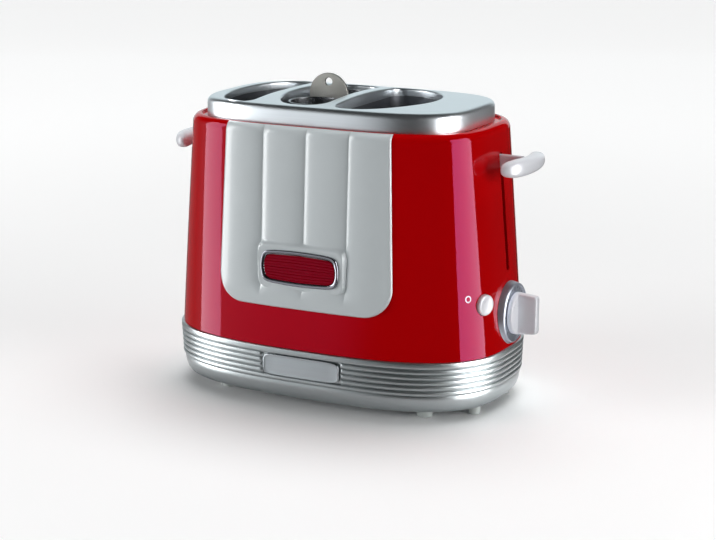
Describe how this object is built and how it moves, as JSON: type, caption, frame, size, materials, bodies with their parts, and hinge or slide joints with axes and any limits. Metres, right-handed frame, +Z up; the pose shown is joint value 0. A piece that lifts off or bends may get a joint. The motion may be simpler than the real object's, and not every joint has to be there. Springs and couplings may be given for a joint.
{
  "type": "hot dog toaster",
  "caption": "Retro countertop toaster for buns and sausages, with a lift-out basket, end levers, a browning dial and a slide-out crumb tray.",
  "frame": {"origin": "on the table, under the middle of the base", "axes": "+Z up, +X along the long side towards the dial end, +Y to the back, so the fluted front faces -Y"},
  "size_m": [0.2798, 0.153, 0.2237],
  "materials": {
    "silver_plastic": "satin silver lacquer on moulded ribs",
    "silver_plate": "bare brushed plate",
    "foot_rubber": "matt grey",
    "screw_steel": "zinc plated",
    "black_plastic": "fine matt grain",
    "tray_steel": "rolled sheet",
    "red_gloss": "deep gloss enamel",
    "pale_gloss": "gloss pale grey white",
    "chrome_trim": "bright plated",
    "red_insert": "gloss with fine ribs",
    "brushed_plate": "fine brushed along the length",
    "liner_steel": "plain rolled sheet",
    "chassis_steel": "zinc plated sheet",
    "mica": "flaky mica",
    "heater_ribbon": "oxidised resistance ribbon",
    "rod_steel": "ground bar",
    "spring_steel": "drawn wire",
    "coil_copper": "varnished copper winding",
    "bezel_silver": "satin silver",
    "bushing_nylon": "natural nylon",
    "white_gloss": "soft gloss",
    "basket_steel": "plain sheet",
    "handle_steel": "brushed"
  },
  "bodies": {
    "housing": {"base_housing": "silver_plastic", "nameplate": "silver_plate", "feet": "foot_rubber", "base_screws": "screw_steel", "cord_gland": "black_plastic", "outer_shell": "red_gloss", "front_panel": "pale_gloss", "badge_frame": "chrome_trim", "badge_insert": "red_insert", "top_plate": "brushed_plate", "bun_liner_left": "liner_steel", "basket_liner": "liner_steel", "bun_liner_right": "liner_steel", "chassis_deck": "chassis_steel", "chassis_end_left": "chassis_steel", "chassis_end_right": "chassis_steel", "chassis_screws": "screw_steel", "heater_board_a": "mica", "heater_board_b": "mica", "heater_board_c": "mica", "heater_board_d": "mica", "heater_ribbon_a": "heater_ribbon", "heater_ribbon_b": "heater_ribbon", "heater_ribbon_c": "heater_ribbon", "heater_ribbon_d": "heater_ribbon", "guide_rod_left": "rod_steel", "guide_rod_right": "rod_steel", "return_spring_left": "spring_steel", "return_spring_right": "spring_steel", "latch_magnet": "coil_copper", "mains_switch": "black_plastic", "control_bracket": "chassis_steel", "dial_control": "black_plastic", "stop_switch": "black_plastic", "dial_bezel": "bezel_silver"},
    "carriage": {"carriage_frame": "chassis_steel", "carriage_bushing_left": "bushing_nylon", "carriage_bushing_right": "bushing_nylon", "latch_armature": "rod_steel", "bun_cradle_left": "liner_steel", "basket_cradle": "liner_steel", "bun_cradle_right": "liner_steel", "lever_left": "white_gloss", "lever_right": "white_gloss"},
    "basket": {"basket_tube_front": "basket_steel", "basket_tube_rear": "basket_steel", "basket_bridges": "basket_steel", "basket_handle": "handle_steel"},
    "tray": {"crumb_tray": "tray_steel"},
    "dial": {"browning_knob": "white_gloss", "knob_shaft": "rod_steel"},
    "button": {"stop_button": "white_gloss"}
  },
  "joints": [
    {"name": "carriage_slide", "type": "slide", "parent": "housing", "child": "carriage", "axis": [0, 0, -1], "range_m": [0, 0.07], "stiffness_N_per_m": 60, "springref_m": -0.12, "deforming": ["return_spring_left", "return_spring_right"]},
    {"name": "basket_lift", "type": "slide", "parent": "carriage", "child": "basket", "axis": [0, 0, 1], "range_m": [0, 0.13]},
    {"name": "tray_slide", "type": "slide", "parent": "housing", "child": "tray", "axis": [0, 1, 0], "range_m": [0, 0.1]},
    {"name": "dial_turn", "type": "hinge", "parent": "housing", "child": "dial", "pos_m": [0.13, 0.006, 0.0658], "axis": [1, 0, 0], "range_deg": [0, 270]},
    {"name": "stop_press", "type": "slide", "parent": "housing", "child": "button", "axis": [-0.9455, 0.3256, 0], "range_m": [0, 0.002], "stiffness_N_per_m": 400, "springref_m": -0.001}
  ]
}
